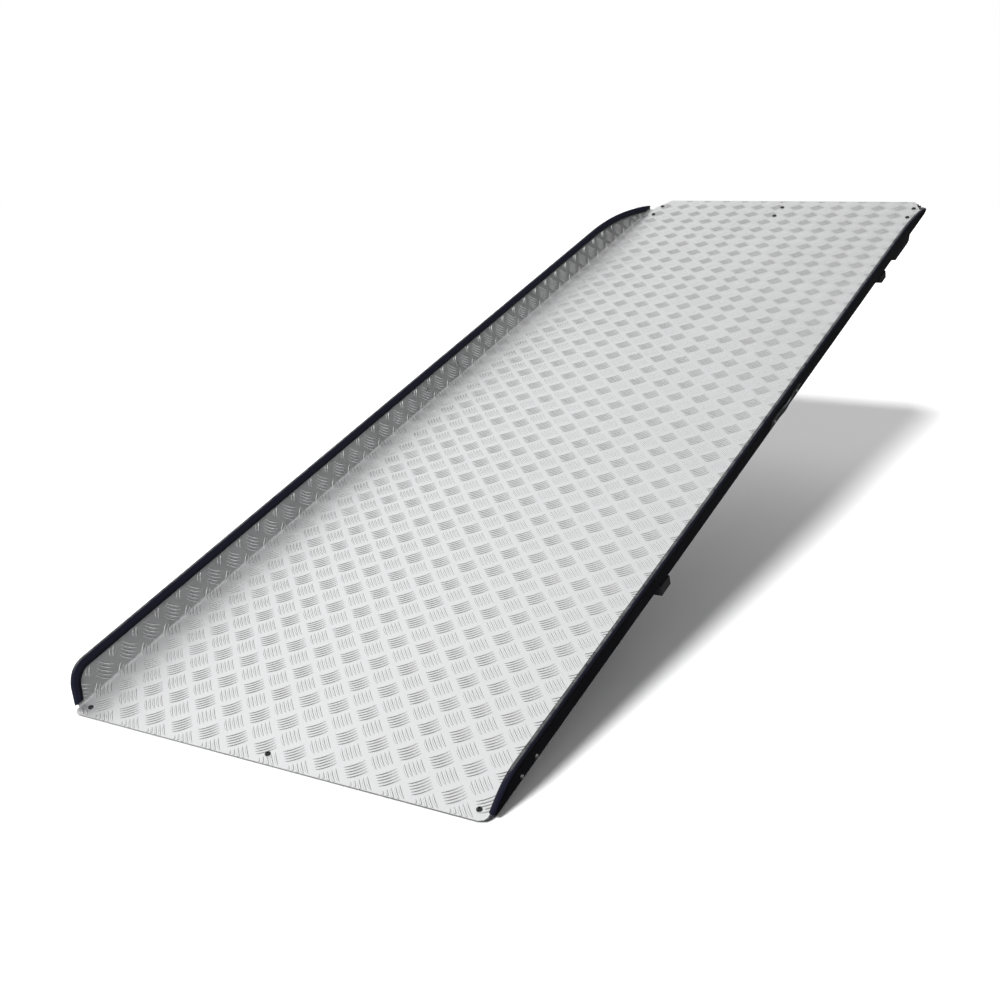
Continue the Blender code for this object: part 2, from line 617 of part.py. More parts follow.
def rail_bolts(bright, leaf):
    """Two screws per side that hold the rail to the kerb near the toe; blind in the kerb."""
    face = SHEET + GAP + RAIL_T + GAP
    head = button_head(RAIL_BOLT_HEAD_R, RAIL_BOLT_R, face - KERB_SKIN - GAP)
    for label, side in SIDES:
        for number, distance in enumerate(RAIL_BOLTS, 1):
            y = TOE_Y + distance
            nodes = (f"side_rail_{label}", "deck_tray")
            side_drill(f"bolt_{label}_{number}", nodes, side, y, RAIL_BOLT_H, RAIL_BOLT_R, KERB_SKIN)
            bm = lathe(head, 12, side_matrix(side, face, y, RAIL_BOLT_H))
            add_mesh(f"rail_bolt_{label}_{number}", bm, bright, leaf)


def stow_latches(steel, bright, leaf):
    """A sliding bolt in a block under each rail near the top, to hold the folded leaf."""
    top = UNDER_Z - RAIL_T - 2 * GAP
    y = TOE_Y + LATCH_Y
    rod_z = top - LATCH_D * 0.5
    slope = 0.022
    half = LATCH_L / 2
    side_view = [
        (y - half, top), (y + half, top), (y + half - slope * 0.4, top - LATCH_D * 0.8),
        (y + half - slope, top - LATCH_D), (y - half + slope, top - LATCH_D),
        (y - half + slope * 0.3, top - LATCH_D * 0.6),
    ]
    outer = HALF_W + 0.001
    inner = outer - LATCH_W
    for label, side in SIDES:
        span = sorted((side * inner, side * outer))
        name = f"latch_block_{label}"
        block = add_mesh(name, prism(side_view, *span, along_x), steel, leaf, smooth=False)
        rod_start, rod_end = inner - 0.016, outer - 0.001
        local = Matrix.Rotation(side * math.pi / 2, 4, "Y")
        turn = Matrix.Translation((side * rod_start, y, rod_z)) @ local
        length = rod_end - rod_start
        clear = LATCH_ROD_R + GAP
        channel = [(0, -0.010), (clear, -0.010), (clear, length + 0.020), (0, length + 0.020)]
        cut(block, add_mesh(f"{name}_bore", lathe(channel, 16, turn), None))
        handle_x = inner + 0.022
        slot_half = 0.0042
        slot_low = top - LATCH_D - 0.010
        slot_far = handle_x + slot_half + LATCH_TRAVEL
        slot_ends = sorted((side * (handle_x - slot_half), side * slot_far))
        slot = [
            (y - slot_half, rod_z), (y + slot_half, rod_z), (y + slot_half, slot_low),
            (y - slot_half, slot_low),
        ]
        cut(block, add_mesh(f"{name}_slot", prism(slot, *slot_ends, along_x), None))

        anchor = frame_empty(f"latch_{label}_slide", (side * rod_start, y, rod_z))
        anchor.parent = leaf
        rod = [
            (0, 0), (LATCH_ROD_R, 0), (LATCH_ROD_R, length - 0.003), (LATCH_ROD_R * 0.6, length),
            (0, length),
        ]
        bolt = add_mesh(f"latch_bolt_{label}", lathe(rod, 16, local), bright, anchor)
        stem_radius, stem_length = 0.003, 0.024
        reach = side * (handle_x - rod_start)
        stem_place = Matrix.Translation((reach, 0, 0)) @ Matrix.Rotation(math.pi, 4, "X")
        grip = [
            (0, 0), (stem_radius, 0), (stem_radius, stem_length - 0.008),
            (0.006, stem_length - 0.006), (0.0065, stem_length), (0.004, stem_length + 0.003),
            (0, stem_length + 0.003),
        ]
        stem = add_mesh(f"latch_{label}_stem", lathe(grip, 12, stem_place), None)
        cut(bolt, stem, "UNION")
        stem.parent = anchor


def build():
    clear_scene()
    tread = material("tread_plate", (0.80, 0.81, 0.82), 0.35, 1.0)
    aluminium = material("plain_aluminium", (0.70, 0.71, 0.72), 0.40, 1.0)
    powder = material("black_powder_coat", (0.022, 0.023, 0.035), 0.45, 0.0)
    rubber = material("black_rubber", (0.020, 0.021, 0.026), 0.70, 0.0)
    plastic = material("black_plastic", (0.025, 0.025, 0.028), 0.50, 0.0)
    webbing = material("black_webbing", (0.030, 0.030, 0.034), 0.85, 0.0)
    bright = material("zinc_plated_steel", (0.62, 0.62, 0.64), 0.30, 1.0)

    sill = frame_empty("sill_axis", (0, AXIS_Y, AXIS_Z))
    leaf = frame_empty("leaf_axis", (0, AXIS_Y, AXIS_Z), (INCLINE, 0, 0))
    deck_tray(tread, leaf)
    for label, side in SIDES:
        edge_trim(label, side, rubber, leaf)
        side_rail(label, side, powder, leaf)
    toe_pieces(aluminium, rubber, bright, leaf)
    cross_beams(powder, plastic, leaf)
    hinges(powder, bright, leaf, sill)
    sill_plate(aluminium, bright, sill)
    pull_straps(webbing, bright, leaf)
    rail_bolts(bright, leaf)
    stow_latches(powder, bright, leaf)


build()
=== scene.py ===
"""Looks for the folding loading ramp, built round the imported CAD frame.

Lengths are metres.  The leaf is worked on in its own frame (x across, y up the slope, z square to
the deck, origin on the hinge axis), and every finished mesh is stored in the row frame at rest.
"""
import json
import math

import bmesh
import bpy
from mathutils import Matrix, Vector


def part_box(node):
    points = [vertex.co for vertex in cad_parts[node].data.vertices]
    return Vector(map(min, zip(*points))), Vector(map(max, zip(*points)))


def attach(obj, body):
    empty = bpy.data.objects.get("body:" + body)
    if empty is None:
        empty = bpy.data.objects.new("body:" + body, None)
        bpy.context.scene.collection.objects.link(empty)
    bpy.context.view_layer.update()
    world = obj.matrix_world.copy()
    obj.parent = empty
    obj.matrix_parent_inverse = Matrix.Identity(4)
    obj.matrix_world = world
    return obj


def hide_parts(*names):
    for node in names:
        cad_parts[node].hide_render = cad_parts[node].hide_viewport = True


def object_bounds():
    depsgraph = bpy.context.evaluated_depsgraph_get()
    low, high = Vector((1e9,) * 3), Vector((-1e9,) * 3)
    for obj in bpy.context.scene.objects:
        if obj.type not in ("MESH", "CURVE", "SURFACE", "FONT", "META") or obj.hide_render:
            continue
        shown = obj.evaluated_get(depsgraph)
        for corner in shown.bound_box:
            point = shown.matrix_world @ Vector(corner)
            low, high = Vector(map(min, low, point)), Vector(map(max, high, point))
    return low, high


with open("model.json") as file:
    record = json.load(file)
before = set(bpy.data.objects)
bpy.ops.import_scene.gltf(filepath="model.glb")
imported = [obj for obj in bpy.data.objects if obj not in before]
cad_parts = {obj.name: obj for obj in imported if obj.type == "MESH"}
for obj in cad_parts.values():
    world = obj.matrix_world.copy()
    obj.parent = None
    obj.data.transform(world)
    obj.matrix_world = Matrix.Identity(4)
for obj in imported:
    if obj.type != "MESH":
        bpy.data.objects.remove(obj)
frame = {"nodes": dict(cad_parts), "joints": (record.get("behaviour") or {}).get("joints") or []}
NODES = frame["nodes"]
CAD_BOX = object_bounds()

# ---- dimensions shared with the CAD model ---------------------------------------------------------
FOLD = next(joint for joint in frame["joints"] if joint["name"] == "leaf_fold")
INCLINE = math.radians(max(FOLD["range_deg"]) - 90.0)
LEAF = Matrix.Translation(FOLD["pos_m"]) @ Matrix.Rotation(INCLINE, 4, "X")
DECK_L, DECK_W, SHEET = 2.200, 0.720, 0.003
HALF_W = DECK_W / 2
DECK_Z = 0.0123               # the deck's upper face, above the hinge axis
TOP_Y = -0.002                # the deck's top edge
TOE_Y = TOP_Y - DECK_L
KERB_LEAN = math.radians(21.4)
KERB_H, KERB_FOOT = 0.048, 0.005   # the kerb's height, and its height at the two ends
FOLD_R = 0.006                # inside radius of the folds between deck and kerbs
KERB_TOE_R, KERB_TAPER_R = 0.044, 1.050
KERB_TOE_RAKE = math.radians(27)
KERB_TOE_GAP, KERB_TOP_GAP = 0.012, 0.066
TOE_CHAMFER, TOP_TAPER_W = 0.010, 0.033
TOE_CORNER_X = HALF_W - 0.001
TRIM_LIP = 0.010              # how far the trims' cheeks reach down the kerbs
TRIM_FIT = 0.0003             # clearance between a trim's slot and the kerb
LEAN_UP = Vector((math.sin(KERB_LEAN), 0.0, math.cos(KERB_LEAN)))
LEAN_OUT = Vector((math.cos(KERB_LEAN), 0.0, -math.sin(KERB_LEAN)))
SIDES = (("left", -1), ("right", 1))

# ---- tread pattern ---------------------------------------------------------------------------------
PITCH = DECK_W / 13.9         # groups of one direction repeat at this spacing, both ways
BARS_PER_GROUP = 5
BAR_PITCH = 0.0057
BAR_L, BAR_W, BAR_H = 0.0300, 0.0036, 0.0011
BAR_BOW = 0.0017              # each bar is slightly crescent-shaped
PHASE = Vector((0.22, 0.10)) * PITCH   # where the first group stands from the toe edge's middle

# ---- camera ----------------------------------------------------------------------------------------
CAMERA_AZIMUTH = math.radians(29.0)
CAMERA_ELEVATION = math.radians(13.4)
CAMERA_DISTANCE = 2.2785
CAMERA_AIM = LEAF @ Vector((0.077, TOE_Y + 0.7147, DECK_Z))
CAMERA_LENS = 47.54
CAMERA_SHIFT = -0.05


# ---- node helpers ----------------------------------------------------------------------------------
class Shader:
    """A Principled material whose textures read the leaf's own axes."""

    def __init__(self, name, colour, roughness, metallic):
        self.material = bpy.data.materials.new(name)
        self.material.use_nodes = True
        self.tree = self.material.node_tree
        self.principled = self.tree.nodes["Principled BSDF"]
        self.set("Base Color", (*colour, 1.0))
        self.set("Roughness", roughness)
        self.set("Metallic", metallic)
        coordinates = self.tree.nodes.new("ShaderNodeTexCoord")
        turn = self.tree.nodes.new("ShaderNodeMapping")
        turn.inputs["Rotation"].default_value = (-INCLINE, 0.0, 0.0)
        self.link(coordinates.outputs["Object"], turn.inputs["Vector"])
        self.place = turn.outputs["Vector"]

    def set(self, socket, value):
        self.principled.inputs[socket].default_value = value

    def link(self, output, socket):
        self.tree.links.new(output, socket)

    def drive(self, socket, output):
        """Lets a texture drive one of the Principled shader's inputs."""
        self.link(output, self.principled.inputs[socket])

    def stretched(self, scale):
        mapping = self.tree.nodes.new("ShaderNodeMapping")
        mapping.inputs["Scale"].default_value = scale
        self.link(self.place, mapping.inputs["Vector"])
        return mapping.outputs["Vector"]

    def noise(self, scale, detail=4.0, rough=0.55, stretch=None):
        texture = self.tree.nodes.new("ShaderNodeTexNoise")
        texture.inputs["Scale"].default_value = scale
        texture.inputs["Detail"].default_value = detail
        texture.inputs["Roughness"].default_value = rough
        self.link(self.stretched(stretch) if stretch else self.place, texture.inputs["Vector"])
        return texture.outputs["Fac"]

    def wave(self, scale, direction):
        texture = self.tree.nodes.new("ShaderNodeTexWave")
        texture.bands_direction = direction
        texture.inputs["Scale"].default_value = scale
        self.link(self.place, texture.inputs["Vector"])
        return texture.outputs["Fac"]

    def remap(self, value, low, high, to_low, to_high):
        ranged = self.tree.nodes.new("ShaderNodeMapRange")
        ranged.inputs["From Min"].default_value = low
        ranged.inputs["From Max"].default_value = high
        ranged.inputs["To Min"].default_value = to_low
        ranged.inputs["To Max"].default_value = to_high
        self.link(value, ranged.inputs["Value"])
        return ranged.outputs["Result"]

    def math(self, operation, first, second):
        made = self.tree.nodes.new("ShaderNodeMath")
        made.operation = operation
        for socket, value in zip(made.inputs, (first, second)):
            if isinstance(value, (int, float)):
                socket.default_value = value
            else:
                self.link(value, socket)
        return made.outputs["Value"]

    def mix(self, share, first, second):
        """Colour between first and second; each is a colour or a socket."""
        made = self.tree.nodes.new("ShaderNodeMix")
        made.data_type = "RGBA"
        self.link(share, made.inputs["Factor"])
        for socket, value in zip(("A", "B"), (first, second)):
            target = next(i for i in made.inputs if i.name == socket and i.type == "RGBA")
            if isinstance(value, tuple):
                target.default_value = (*value, 1.0)
            else:
                self.link(value, target)
        return next(o for o in made.outputs if o.type == "RGBA")

    def bump(self, height, strength, distance):
        made = self.tree.nodes.new("ShaderNodeBump")
        made.inputs["Strength"].default_value = strength
        made.inputs["Distance"].default_value = distance
        self.link(height, made.inputs["Height"])
        self.link(made.outputs["Normal"], self.principled.inputs["Normal"])

    def facing_up(self, low, high):
        """1 where the face looks up off the leaf, by the piece's own normals."""
        coordinates = self.tree.nodes.new("ShaderNodeTexCoord")
        dot = self.tree.nodes.new("ShaderNodeVectorMath")
        dot.operation = "DOT_PRODUCT"
        self.link(coordinates.outputs["Normal"], dot.inputs[0])
        dot.inputs[1].default_value = LEAF.to_3x3() @ Vector((0, 0, 1))
        return self.remap(dot.outputs["Value"], low, high, 0.0, 1.0)

    def edges(self, radius):
        """1 along sharp outside and inside edges, 0 on flat faces."""
        bevel = self.tree.nodes.new("ShaderNodeBevel")
        bevel.samples = 4
        bevel.inputs["Radius"].default_value = radius
        flat = self.tree.nodes.new("ShaderNodeNewGeometry")
        dot = self.tree.nodes.new("ShaderNodeVectorMath")
        dot.operation = "DOT_PRODUCT"
        self.link(bevel.outputs["Normal"], dot.inputs[0])
        self.link(flat.outputs["Normal"], dot.inputs[1])
        return self.remap(dot.outputs["Value"], 0.995, 0.90, 0.0, 1.0)


# ---- materials -------------------------------------------------------------------------------------
METAL_SHARE = 0.95            # the rest is the dull oxide on the rolled sheet


def mill_aluminium(name, colour, low, high, grain=0.25):
    """Rolled aluminium: faint grain along the sheet, soft smudges and fine scratches."""
    made = Shader(name, colour, (low + high) / 2, METAL_SHARE)
    smudge = made.noise(9.0, 5.0, 0.6)
    fine = made.noise(60.0, 4.0, 0.6, (6.0, 0.6, 6.0))
    scratch = made.noise(240.0, 2.0, 0.5, (1.0, 0.03, 1.0))
    blend = made.math("ADD", made.math("MULTIPLY", smudge, 0.65), made.math("MULTIPLY", fine, 0.35))
    made.drive("Roughness", made.remap(blend, 0.30, 0.72, low, high))
    dark = tuple(c * 0.90 for c in colour)
    made.drive("Base Color", made.mix(made.remap(blend, 0.36, 0.66, 0.0, 1.0), dark, colour))
    made.bump(made.math("ADD", made.math("MULTIPLY", fine, 0.5), scratch), grain, 0.00012)
    return made.material


def powder_coat(name, colour):
    """Black powder coat: orange peel, a little dust, and paint rubbed thin along the edges."""
    made = Shader(name, colour, 0.42, 0.0)
    peel = made.noise(420.0, 3.0, 0.55)
    dust = made.noise(14.0, 6.0, 0.65)
    chips = made.noise(160.0, 4.0, 0.7)
    worn = made.math("MULTIPLY", made.edges(0.0012), made.remap(chips, 0.50, 0.62, 0.0, 1.0))
    dusty = tuple(c * 1.9 + 0.012 for c in colour)
    shade = made.mix(made.remap(dust, 0.45, 0.75, 0.0, 0.7), colour, dusty)
    made.drive("Base Color", made.mix(worn, shade, (0.16, 0.16, 0.17)))
    made.drive("Roughness", made.remap(dust, 0.3, 0.7, 0.36, 0.58))
    made.bump(peel, 0.35, 0.00025)
    made.set("Specular IOR Level", 0.30)
    return made.material


def rubber(name, colour):
    """Matt extrusion whose upward faces are paler: a little grey dust, and painted light where the top
    catches the lamp.
    """
    made = Shader(name, colour, 0.6, 0.0)
    grit = made.noise(900.0, 3.0, 0.6)
    bloom = made.noise(70.0, 6.0, 0.7)
    # upward faces paler: grey dust, and painted light on the top
    dust = made.math("MULTIPLY", made.facing_up(0.80, 0.99), made.remap(bloom, 0.35, 0.65, 0.1, 1.0))
    made.drive("Base Color", made.mix(dust, colour, (0.085, 0.090, 0.085)))
    made.drive("Roughness", made.remap(bloom, 0.3, 0.7, 0.50, 0.72))
    made.bump(grit, 0.4, 0.00012)
    made.set("Specular IOR Level", 0.22)
    return made.material


def moulded_plastic(name, colour):
    """Grained plastic with patches of paler sheen."""
    made = Shader(name, colour, 0.45, 0.0)
    grain = made.noise(1100.0, 2.0, 0.5)
    sheen = made.noise(30.0, 4.0, 0.6)
    pale = tuple(c * 1.8 + 0.008 for c in colour)
    made.drive("Base Color", made.mix(made.remap(sheen, 0.45, 0.75, 0.0, 1.0), colour, pale))
    made.drive("Roughness", made.remap(sheen, 0.3, 0.7, 0.38, 0.56))
    made.bump(grain, 0.3, 0.00010)
    return made.material


def woven_webbing(name, colour):
    """Crossed threads under a little fluff."""
    made = Shader(name, colour, 0.85, 0.0)
    warp = made.wave(260.0, "Y")
    weft = made.wave(420.0, "Z")
    weave = made.math("MULTIPLY", warp, weft)
    fluff = made.noise(60.0, 5.0, 0.6)
    pale = tuple(c * 2.0 + 0.01 for c in colour)
    made.drive("Base Color", made.mix(weave, colour, pale))
    made.drive("Roughness", made.remap(fluff, 0.3, 0.7, 0.75, 0.95))
    made.bump(weave, 0.8, 0.0005)
    made.set("Sheen Weight", 0.3)
    return made.material


def plated_steel(name, colour, low, high):
    """Plated steel with clouds of slightly yellower tone."""
    made = Shader(name, colour, (low + high) / 2, 1.0)
    cloud = made.noise(120.0, 5.0, 0.6)
    tint = (colour[0] * 0.78, colour[1] * 0.78, colour[2] * 0.74)
    made.drive("Base Color", made.mix(made.remap(cloud, 0.40, 0.70, 0.0, 1.0), colour, tint))
    made.drive("Roughness", made.remap(cloud, 0.3, 0.7, low, high))
    made.bump(cloud, 0.25, 0.00008)
    return made.material


SHEET_METAL = mill_aluminium("tread_sheet", (0.86, 0.865, 0.87), 0.36, 0.50)
BAR_METAL = mill_aluminium("tread_bar", (0.88, 0.88, 0.885), 0.22, 0.34, 0.15)
# darker metal for the lower flanks of the deck's bars: painted shade in the creases where they meet the
# sheet
BAR_FOOT_SHADE_METAL = mill_aluminium("tread_bar_foot_painted_shade", (0.50, 0.50, 0.51), 0.34, 0.48, 0.15)
PLAIN_METAL = mill_aluminium("plain_aluminium", (0.78, 0.785, 0.79), 0.30, 0.48, 0.4)
POWDER = powder_coat("black_powder_coat", (0.0085, 0.0088, 0.0150))
RUBBER = rubber("black_rubber", (0.0050, 0.0052, 0.0110))
PLASTIC = moulded_plastic("black_plastic", (0.014, 0.014, 0.018))
WEBBING = woven_webbing("black_webbing", (0.014, 0.014, 0.018))
ZINC = plated_steel("zinc_steel", (0.60, 0.60, 0.60), 0.22, 0.40)
DARK_STEEL = plated_steel("dark_steel", (0.085, 0.085, 0.090), 0.30, 0.48)

FINISHES = (
    ("deck_tray", SHEET_METAL), ("toe_bar", PLAIN_METAL), ("sill_plate", PLAIN_METAL),
    ("toe_pad", RUBBER), ("edge_trim", RUBBER), ("end_cap", PLASTIC), ("pull_strap", WEBBING),
    ("toe_screw", DARK_STEEL), ("strap_bolt", DARK_STEEL), ("strap_rivet", ZINC), ("rail_bolt", ZINC),
    ("sill_bolt", ZINC), ("hinge_pin", ZINC), ("latch_bolt", ZINC),
)


# ---- CAD nodes: finish, softened edges and smooth round faces --------------------------------------
SHARP = math.radians(40)      # edges that turn more than this stay sharp and are bevelled


def finish_node(name, node):
    """Material by name, and a small bevel so that each edge catches the light."""
    chosen = next((finish for start, finish in FINISHES if name.startswith(start)), POWDER)
    node.data.materials.clear()
    node.data.materials.append(chosen)
    weld = node.modifiers.new("weld", "WELD")
    weld.merge_threshold = 0.00002
    bevel = node.modifiers.new("edge", "BEVEL")
    bevel.width = 0.0004
    bevel.segments = 2
    bevel.limit_method = "ANGLE"
    bevel.angle_limit = SHARP
    weighted = node.modifiers.new("flat_faces", "WEIGHTED_NORMAL")
    weighted.keep_sharp = True
    if "custom_normal" in node.data.attributes:
        node.data.attributes.remove(node.data.attributes["custom_normal"])
    node.data.shade_smooth()
    node.data.set_sharp_from_angle(angle=SHARP)


# ---- mesh helpers ----------------------------------------------------------------------------------
def finish_piece(name, bm, finish, body, place=LEAF, sharp=40.0):
    """Stores bm in the row frame, shades it and lets it ride on a body."""
    bmesh.ops.recalc_face_normals(bm, faces=bm.faces)
    bm.transform(place)
    mesh = bpy.data.meshes.new(name)
    bm.to_mesh(mesh)
    bm.free()
    mesh.shade_smooth()
    mesh.set_sharp_from_angle(angle=math.radians(sharp))
    mesh.materials.append(finish)
    piece = bpy.data.objects.new(name, mesh)
    bpy.context.scene.collection.objects.link(piece)
    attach(piece, body)
    return piece


def arc(centre, radius, start, end, steps):
    """Points along an arc in a plane, from one angle in degrees to another."""
    turns = [math.radians(start + (end - start) * i / steps) for i in range(steps + 1)]
    return [(centre[0] + radius * math.cos(t), centre[1] + radius * math.sin(t)) for t in turns]


def loft(bm, rings, second=()):
    """Skins equally long closed rings and caps both ends; strips listed in second take slot 1."""
    made = [[bm.verts.new(point) for point in ring] for ring in rings]
    count = len(made[0])
    for low, high in zip(made, made[1:]):
        for i in range(count):
            j = (i + 1) % count
            face = bm.faces.new((low[i], low[j], high[j], high[i]))
            face.material_index = int(i in second)
    bm.faces.new(reversed(made[0]))
    bm.faces.new(made[-1])


def polar(radius, angle, height):
    return Vector((radius * math.cos(angle), radius * math.sin(angle), height))


def turned(bm, profile, sides, place):
    """Turned surface; profile is (radius, height), and a radius of 0 is a pole.  Returns its rings."""
    rings = []
    for radius, height in profile:
        if radius == 0:
            rings.append([bm.verts.new(place @ Vector((0, 0, height)))])
            continue
        turns = [2 * math.pi * i / sides for i in range(sides)]
        rings.append([bm.verts.new(place @ polar(radius, t, height)) for t in turns])
    for low, high in zip(rings, rings[1:]):
        for i in range(sides):
            j = (i + 1) % sides
            lower = [low[i % len(low)], low[j % len(low)]]
            upper = [high[j % len(high)], high[i % len(high)]]
            bm.faces.new(list(dict.fromkeys(lower + upper)))
    return rings


def close_round(bm, sections):
    """Skins equally long closed sections that stand round an axis, the last one on to the first."""
    for one, two in zip(sections, sections[1:] + sections[:1]):
        for a in range(len(one)):
            b = (a + 1) % len(one)
            bm.faces.new((one[a], one[b], two[b], two[a]))


# ---- the folded sheet's surface --------------------------------------------------------------------
TURN = math.pi / 2 - KERB_LEAN
FLAT_HALF = HALF_W - FOLD_R * math.tan(TURN / 2)     # flat part of the deck, from the centre line
FOLD_LENGTH = FOLD_R * TURN                          # sheet length in each fold
EDGE_LENGTH = KERB_H / math.cos(KERB_LEAN)


def on_sheet(u, v, height):
    """Point above the sheet's inner face.

    u runs from the centre line outwards, round the fold and up the kerb; v runs up the slope.
    """
    side = -1 if u < 0 else 1
    out = abs(u)
    if out <= FLAT_HALF:
        return Vector((u, v, DECK_Z + height))
    angle = min((out - FLAT_HALF) / FOLD_R, TURN)
    radius = FOLD_R - height
    across = FLAT_HALF + radius * math.sin(angle)
    point = Vector((across, v, DECK_Z + FOLD_R - radius * math.cos(angle)))
    past = out - FLAT_HALF - FOLD_LENGTH
    if past > 0:
        point += LEAN_UP * past
    point.x *= side
    return point


RAKE_RISE = KERB_H - KERB_TOE_R * (1 - math.sin(KERB_TOE_RAKE))
TOE_CENTRE = (
    TOE_Y + KERB_TOE_GAP + RAKE_RISE * math.tan(KERB_TOE_RAKE) + KERB_TOE_R * math.cos(KERB_TOE_RAKE),
    KERB_H - KERB_TOE_R,
)
TAPER_RUN = math.sqrt(KERB_TAPER_R**2 - (KERB_TAPER_R - KERB_H + KERB_FOOT) ** 2)
TAPER_CENTRE = (TOP_Y - KERB_TOP_GAP - TAPER_RUN, KERB_H - KERB_TAPER_R)


def kerb_reach(v):
    """Height of the kerb's free edge above the deck at v, or 0 past its ends."""
    if v < TOE_Y + KERB_TOE_GAP or v > TOP_Y - KERB_TOP_GAP:
        return 0.0
    if v < TOE_CENTRE[0] - KERB_TOE_R * math.cos(KERB_TOE_RAKE):
        return (v - TOE_Y - KERB_TOE_GAP) / math.tan(KERB_TOE_RAKE)
    if v < TOE_CENTRE[0]:
        return TOE_CENTRE[1] + math.sqrt(KERB_TOE_R**2 - (TOE_CENTRE[0] - v) ** 2)
    if v > TAPER_CENTRE[0]:
        return TAPER_CENTRE[1] + math.sqrt(KERB_TAPER_R**2 - (v - TAPER_CENTRE[0]) ** 2)
    return KERB_H


HEAD_MARGIN = 0.0012          # clear sheet round a fastener's head
END_MARGIN = 0.0012           # clear sheet along the toe and top edges
CORNER_MARGIN = 0.002         # clear sheet along the toe's cut corners
KERB_END_MARGIN = 0.001       # clear sheet next to a kerb's toe end
TOE_TAB_MARGIN = 0.0046       # clear sheet at the deck's side edges between the toe and the kerbs
LIP_MARGIN = 0.0006           # clear sheet under a trim's lip
FOOT_STRIP = 0.008            # strip along each side edge that belongs to the kerb
TAPER_STRIP = 0.009           # strip along the narrowing at the top that stays clear


def fastener_spots():
    """(x, y, radius) of the deck fasteners' heads in the leaf frame."""
    back = LEAF.inverted()
    spots = []
    for name in NODES:
        if name.startswith(("strap_bolt", "toe_screw")):
            low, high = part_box(name)
            centre = back @ ((low + high) / 2)
            spots.append((centre.x, centre.y, (high.x - low.x) / 2 + HEAD_MARGIN))
    return spots


SPOTS = fastener_spots()


def has_room(u, v):
    """True where a tread bar may stand: on the sheet, clear of edges, trims and fasteners."""
    out = abs(u)
    if not TOE_Y + END_MARGIN < v < TOP_Y - END_MARGIN:
        return False
    from_toe, from_top = v - TOE_Y, TOP_Y - v
    if out > HALF_W - FOOT_STRIP:
        if from_toe < KERB_TOE_GAP + KERB_END_MARGIN:
            return out + from_toe < HALF_W - TOE_TAB_MARGIN
        edge = kerb_reach(v)
        if edge == 0.0:
            return False
        up = (out - FLAT_HALF) * math.cos(KERB_LEAN)
        lip = TRIM_LIP + LIP_MARGIN
        end_lip = lip / math.cos(KERB_TOE_RAKE)
        return up < edge - lip and up < kerb_reach(v - end_lip)
    if from_toe < TOE_CHAMFER and out + TOE_CHAMFER - from_toe > TOE_CORNER_X - CORNER_MARGIN:
        return False
    narrowing = TOP_TAPER_W * max(0.0, 1 - from_top / KERB_TOP_GAP)
    if out > HALF_W - TAPER_STRIP - narrowing and from_top < KERB_TOP_GAP:
        return False
    return all((u - x) ** 2 + (v - y) ** 2 > r * r for x, y, r in SPOTS)


def bar_span(start, along):
    """The longest clear stretch of a bar as two shares of its length, or None."""
    steps = 12
    shortest = 3
    free = [has_room(*(start + along * (i / steps))) for i in range(steps + 1)]
    best = None
    i = 0
    while i <= steps:
        if not free[i]:
            i += 1
            continue
        j = i
        while j < steps and free[j + 1]:
            j += 1
        if best is None or j - i > best[1] - best[0]:
            best = (i, j)
        i = j + 1
    if best is None or best[1] - best[0] < shortest:
        return None
    return best[0] / steps, best[1] / steps


def add_bar(bm, centre, along, bow):
    """One lens-shaped raised bar, pointed at both ends; on the deck the foot of each flank is painted
    darker, as painted shade in the crease.
    """
    start, reach = centre - along * (BAR_L / 2), along * BAR_L
    span = bar_span(start, reach)
    if span is None:
        return
    across = Vector((-along.y, along.x))
    stations = 7
    # (side, rise) as shares of the bar's half width and height; its feet are sunk into the sheet
    section = ((-1.0, -0.15), (-0.55, 0.60), (0.0, 1.0), (0.55, 0.60), (1.0, -0.15))
    # the lower flanks, which on the deck take the darker metal as painted shade
    flanks = (0, 3)
    rings = []
    for i in range(stations):
        share = span[0] + (span[1] - span[0]) * i / (stations - 1)
        t = 2 * share - 1
        full = max(1 - t * t, 0.02)
        middle = start + reach * share + across * (bow * (1 - t * t))
        ring = []
        for side, rise in section:
            spot = middle + across * (side * BAR_W / 2 * full**0.6)
            ring.append(on_sheet(spot.x, spot.y, rise * BAR_H * full**0.35))
        rings.append(ring)
    on_deck = abs(centre.x) < FLAT_HALF
    loft(bm, rings, second=flanks if on_deck else ())


def tread_bars():
    """Groups of five bars, turned alternately, over the deck and up the kerbs' inner faces."""
    stretches = 3
    reach_u = FLAT_HALF + FOLD_LENGTH + EDGE_LENGTH
    columns = int(reach_u / PITCH) + 2
    rows = int(DECK_L / PITCH) + 2
    meshes = [bmesh.new() for _ in range(stretches)]
    diagonal = math.sqrt(0.5)
    for turn, offset in ((-1, 0.0), (1, 0.5)):
        along = Vector((diagonal * turn, diagonal))
        across = Vector((-along.y, along.x))
        for row in range(rows):
            for column in range(-columns, columns + 1):
                group = Vector((column + offset, row + offset)) * PITCH + PHASE
                group.y += TOE_Y
                part = min(max(int((group.y - TOE_Y) / DECK_L * stretches), 0), stretches - 1)
                for i in range(BARS_PER_GROUP):
                    shift = (i - (BARS_PER_GROUP - 1) / 2) * BAR_PITCH
                    add_bar(meshes[part], group + across * shift, along, -BAR_BOW * turn)
    for label, bm in zip(("toe", "middle", "top"), meshes):
        piece = finish_piece(f"tread_bars_{label}", bm, BAR_METAL, "leaf", sharp=60.0)
        # slot 1 is painted shade on the lower flanks of the deck's bars
        piece.data.materials.append(BAR_FOOT_SHADE_METAL)


